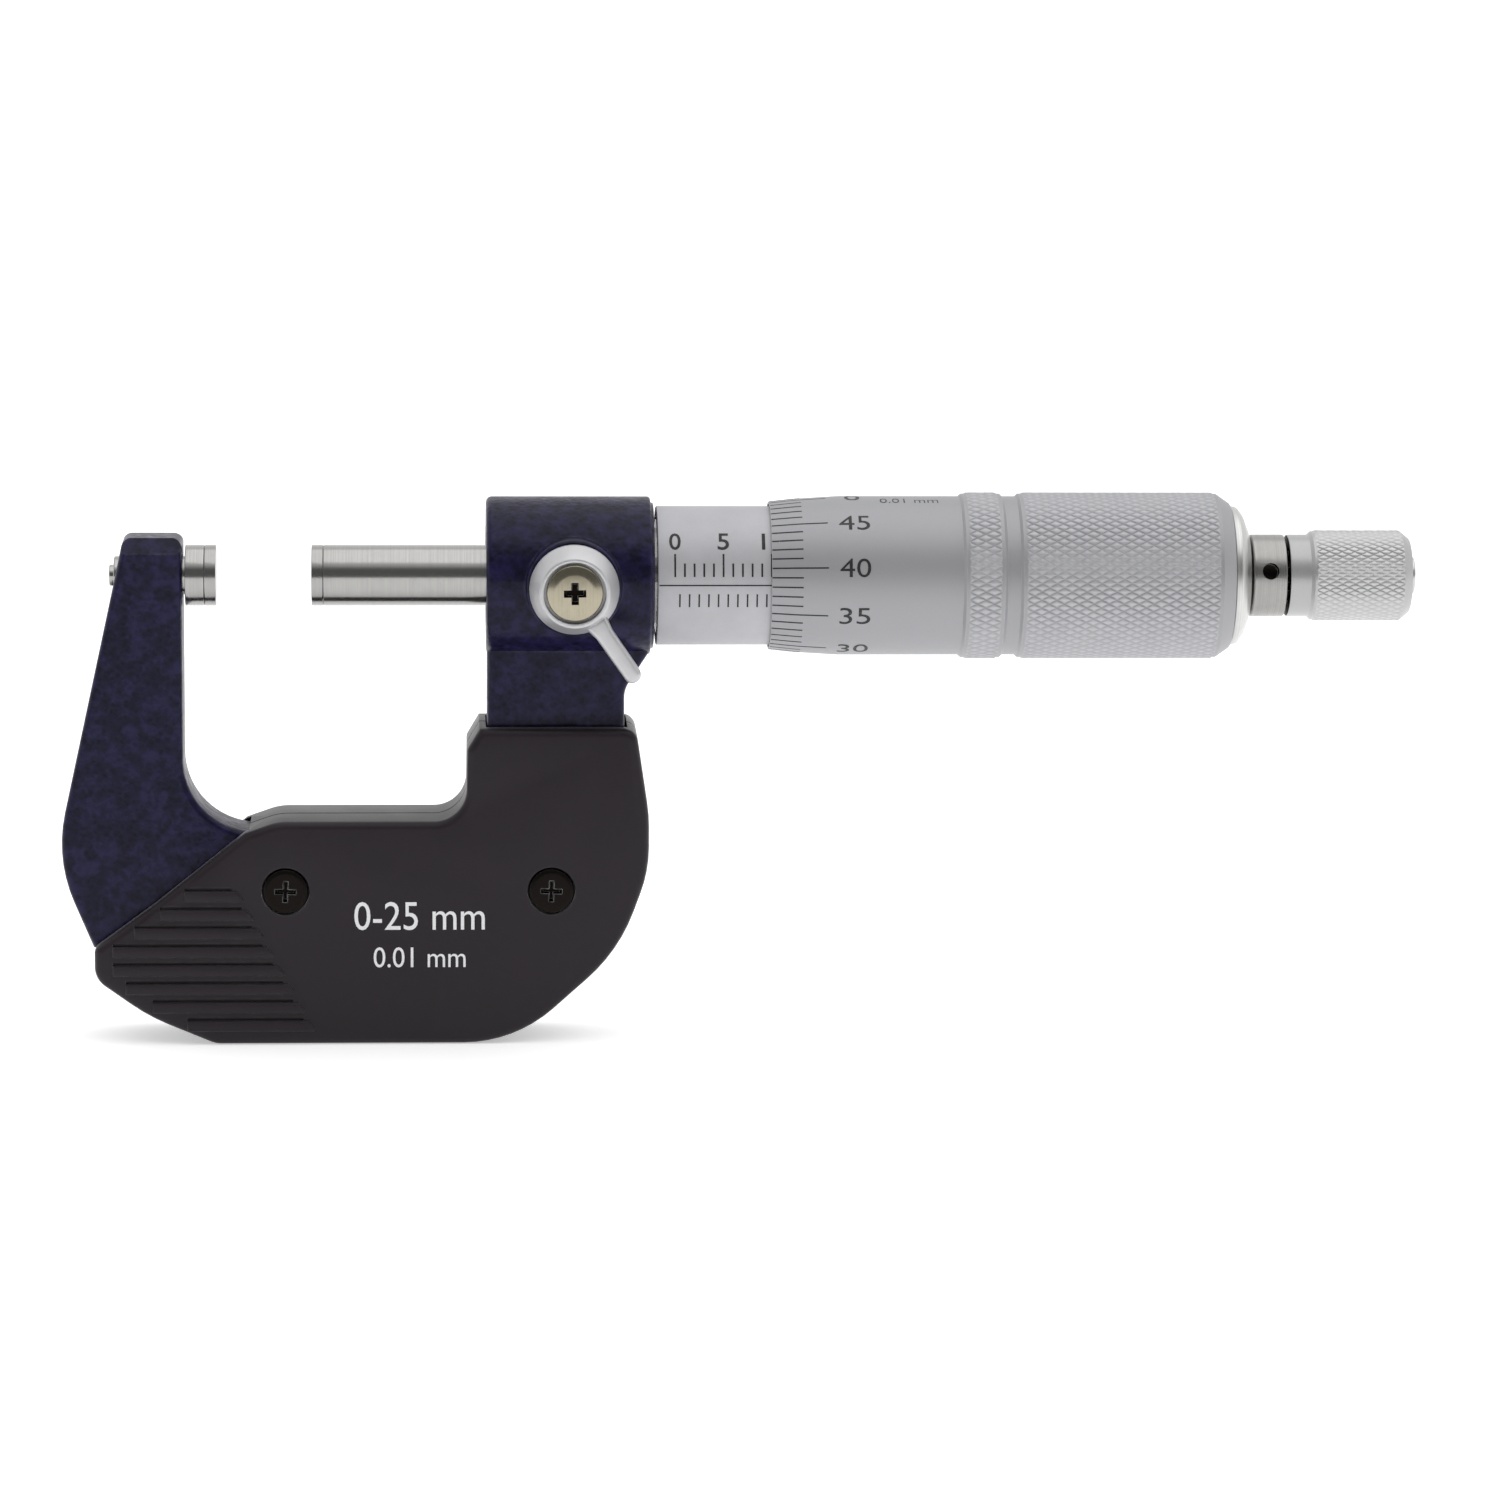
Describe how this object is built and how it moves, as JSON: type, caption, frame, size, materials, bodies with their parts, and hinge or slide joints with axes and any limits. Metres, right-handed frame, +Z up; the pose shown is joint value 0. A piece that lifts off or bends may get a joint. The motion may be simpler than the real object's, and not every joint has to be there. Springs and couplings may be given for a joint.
{
  "type": "outside micrometer",
  "caption": "Outside micrometer for 0 to 25 mm: C frame with heat shields, anvil, screw-driven spindle, scale sleeve, thimble, ratchet stop and spindle lock.",
  "frame": {"origin": "centre of the anvil's measuring face, on the spindle's axis", "axes": "+X along the spindle towards the thimble, +Y to the back, away from the scale and the lock lever, +Z up, away from the frame's bow"},
  "size_m": [0.1416, 0.022, 0.0576],
  "materials": {
    "frame_paint": "semi-gloss hammertone",
    "shield_plastic": "matte",
    "ground_steel": "ground",
    "carbide": "lapped",
    "satin_chrome": "satin",
    "polished_chrome": "polished",
    "black_steel": "black oxide",
    "nickel": "satin nickel",
    "brass": "turned"
  },
  "bodies": {
    "frame_body": {"frame": "frame_paint", "anvil": "ground_steel", "anvil_tip": "carbide", "stem": "ground_steel", "thread_adjust_nut": "ground_steel", "front_shield": "shield_plastic", "rear_shield": "shield_plastic", "front_shield_screw_left": "black_steel", "front_shield_screw_right": "black_steel", "rear_shield_screw_left": "black_steel", "rear_shield_screw_right": "black_steel"},
    "sleeve_body": {"sleeve": "satin_chrome"},
    "feed_body": {"spindle_tip": "carbide"},
    "thimble_body": {"spindle": "ground_steel", "thimble": "satin_chrome", "thimble_cap": "polished_chrome", "ratchet_body": "satin_chrome", "ratchet_screw": "satin_chrome"},
    "knob_body": {"ratchet_knob": "satin_chrome", "ratchet_spring": "ground_steel"},
    "clutch_body": {"ratchet_clutch": "ground_steel"},
    "lever_body": {"lock_lever": "satin_chrome", "lock_lever_screw": "nickel", "lock_bolt": "nickel", "lock_shoe": "brass"}
  },
  "joints": [
    {"name": "spindle_feed", "type": "slide", "parent": "frame_body", "child": "feed_body", "axis": [1, 0, 0], "range_m": [-0.00987, 0.01512]},
    {"name": "thimble_turn", "type": "hinge", "parent": "feed_body", "child": "thimble_body", "pos_m": [0.08, 0, 0], "axis": [1, 0, 0], "range_deg": [-7110, 10890]},
    {"name": "ratchet_turn", "type": "hinge", "parent": "thimble_body", "child": "knob_body", "pos_m": [0.118, 0, 0], "axis": [1, 0, 0], "continuous": true},
    {"name": "clutch_slip", "type": "slide", "parent": "knob_body", "child": "clutch_body", "axis": [1, 0, 0], "range_m": [0, 0.00045], "stiffness_N_per_m": 2000, "springref_m": -0.002, "deforming": ["ratchet_spring"]},
    {"name": "sleeve_zero_turn", "type": "hinge", "parent": "frame_body", "child": "sleeve_body", "pos_m": [0.06, 0, 0], "axis": [1, 0, 0], "range_deg": [-9, 9]},
    {"name": "lock_turn", "type": "hinge", "parent": "frame_body", "child": "lever_body", "pos_m": [0.037, -0.0115, 0], "axis": [0, 1, 0], "range_deg": [0, 60]}
  ],
  "couplings": [
    {"joint": "thimble_turn", "follows": "spindle_feed", "rad_per_m": 12566}
  ]
}
